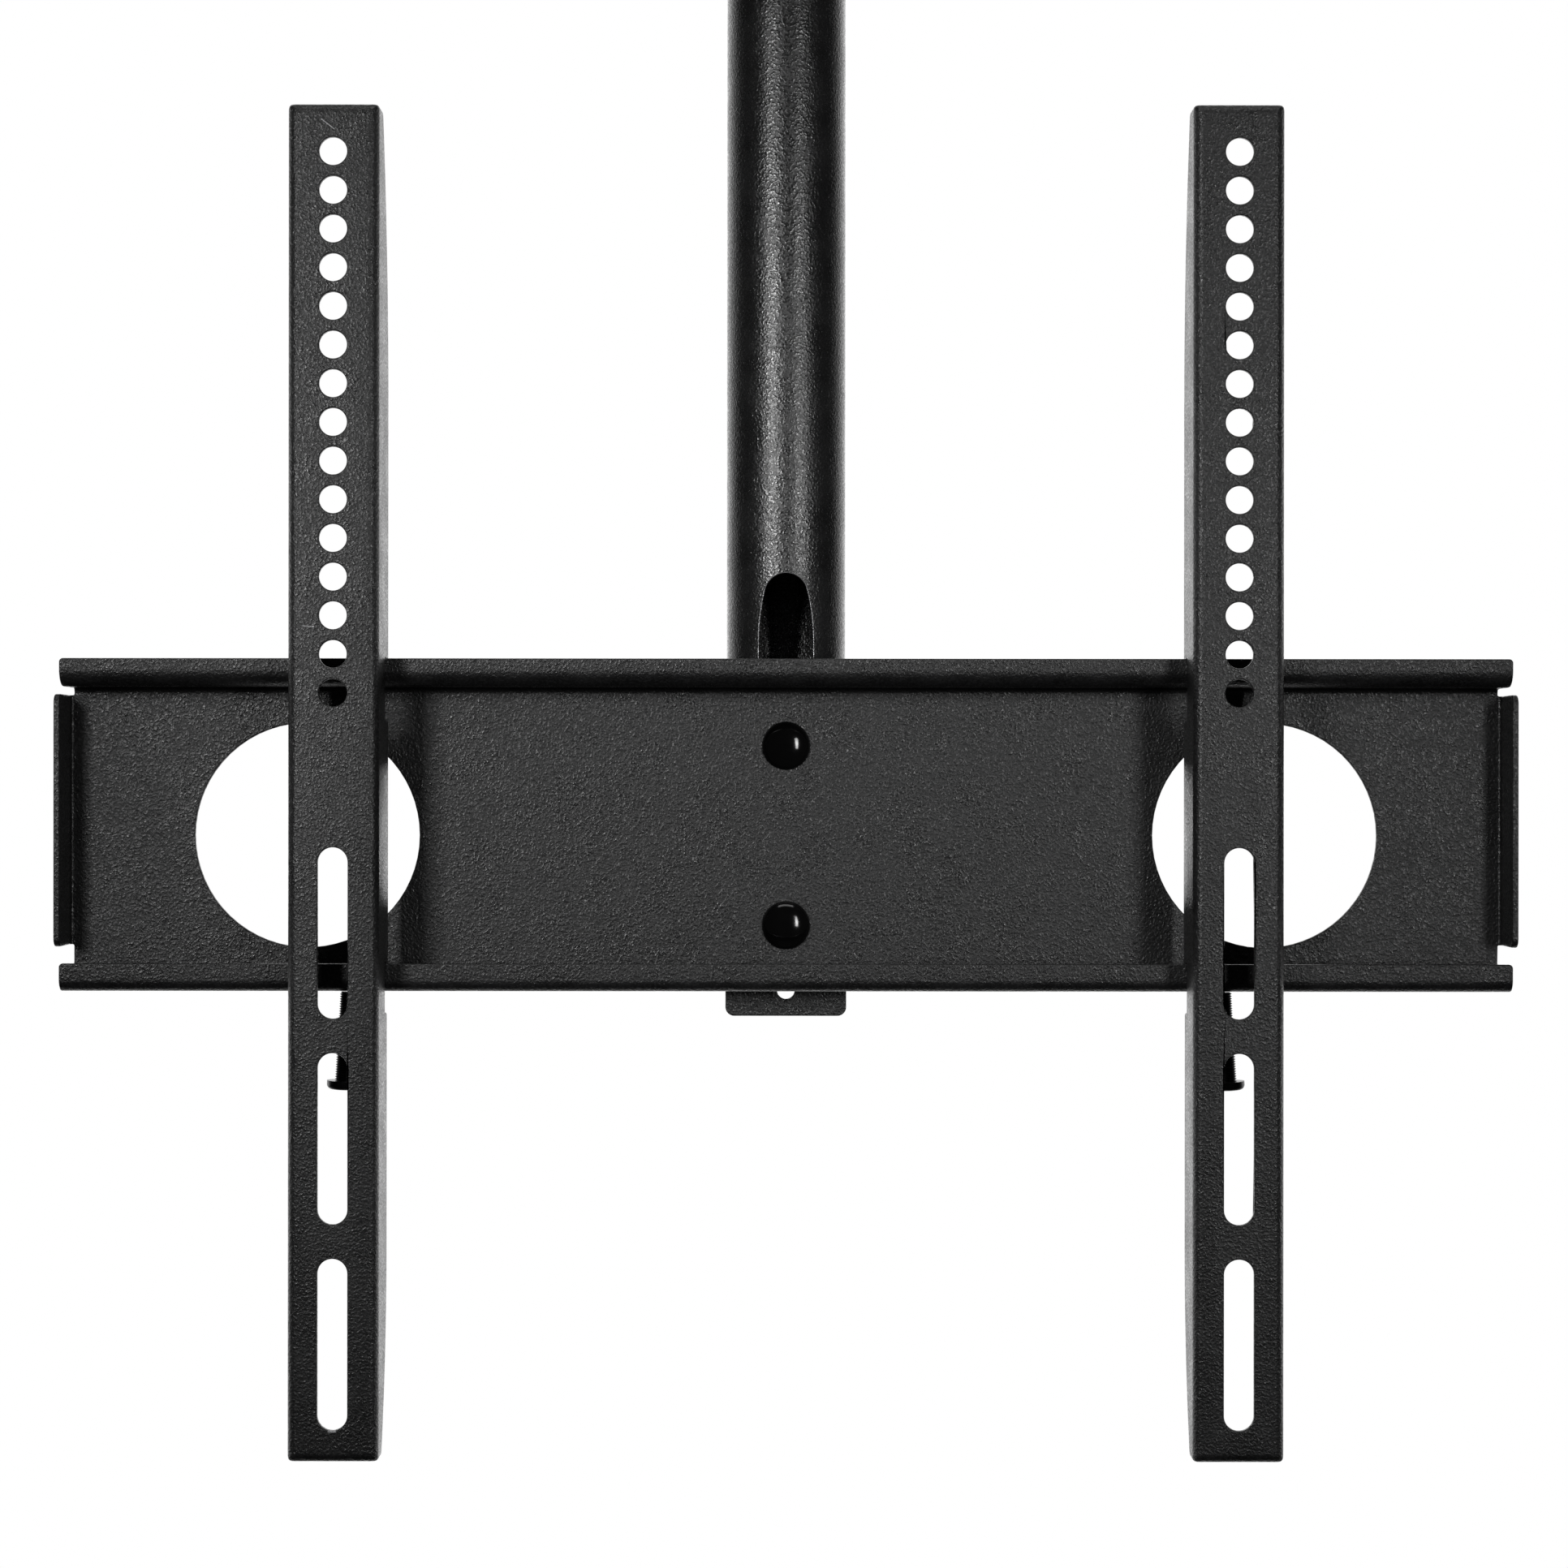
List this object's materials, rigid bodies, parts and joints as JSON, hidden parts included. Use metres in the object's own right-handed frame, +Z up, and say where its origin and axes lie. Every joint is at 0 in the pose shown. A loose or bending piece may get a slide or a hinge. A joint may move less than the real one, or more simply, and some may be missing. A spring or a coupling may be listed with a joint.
{
  "type": "tv ceiling mount",
  "caption": "Ceiling mount for a flat screen: sliding slotted arms hooked on a folded rail plate, with a tilt bracket, a swivelling pole and a ceiling plate.",
  "frame": {"origin": "centre of the ceiling plate's top face, on the pole's axis", "axes": "+Z up along the pole, -Y towards the screen, +X along the rails"},
  "size_m": [0.482, 0.1814, 0.6523],
  "materials": {
    "powder_coat": "black powder coat with a fine leathery grain",
    "gloss_black": "smooth gloss black",
    "black_hardware": "satin black oxide",
    "nylon": "black nylon"
  },
  "bodies": {
    "ceiling": {"ceiling_plate": "powder_coat", "ceiling_socket": "powder_coat", "swivel_set_screws": "black_hardware", "swivel_washer": "nylon"},
    "hanging_pole": {"pole_collar": "powder_coat", "pole": "powder_coat", "tilt_yoke": "powder_coat", "pivot_bolt": "black_hardware", "pivot_nut": "black_hardware", "pivot_washers": "black_hardware"},
    "tilt_head": {"tilt_bracket": "powder_coat", "friction_washers": "nylon", "pivot_spacer": "black_hardware", "tilt_lock_bolt": "black_hardware", "tilt_lock_nut": "black_hardware", "tilt_lock_washers": "black_hardware", "rail_plate": "powder_coat", "plate_bolts": "gloss_black", "plate_washers": "black_hardware", "plate_nuts": "black_hardware"},
    "left_hanger": {"left_arm": "powder_coat"},
    "right_hanger": {"right_arm": "powder_coat"},
    "left_lock": {"left_lock_screw": "black_hardware"},
    "right_lock": {"right_lock_screw": "black_hardware"}
  },
  "joints": [
    {"name": "swivel", "type": "hinge", "parent": "ceiling", "child": "hanging_pole", "pos_m": [0, 0, -0.042], "axis": [0, 0, 1], "continuous": true},
    {"name": "tilt", "type": "hinge", "parent": "hanging_pole", "child": "tilt_head", "pos_m": [0, -0.042, -0.45], "axis": [1, 0, 0], "range_deg": [-5, 15]},
    {"name": "left_arm_slide", "type": "slide", "parent": "tilt_head", "child": "left_hanger", "axis": [-1, 0, 0], "range_m": [-0.13, 0.077]},
    {"name": "right_arm_slide", "type": "slide", "parent": "tilt_head", "child": "right_hanger", "axis": [1, 0, 0], "range_m": [-0.13, 0.077]},
    {"name": "left_lock_travel", "type": "slide", "parent": "left_hanger", "child": "left_lock", "axis": [0.061, 0, 0.9981], "range_m": [-0.011, 0]},
    {"name": "right_lock_travel", "type": "slide", "parent": "right_hanger", "child": "right_lock", "axis": [-0.061, 0, 0.9981], "range_m": [-0.011, 0]}
  ]
}
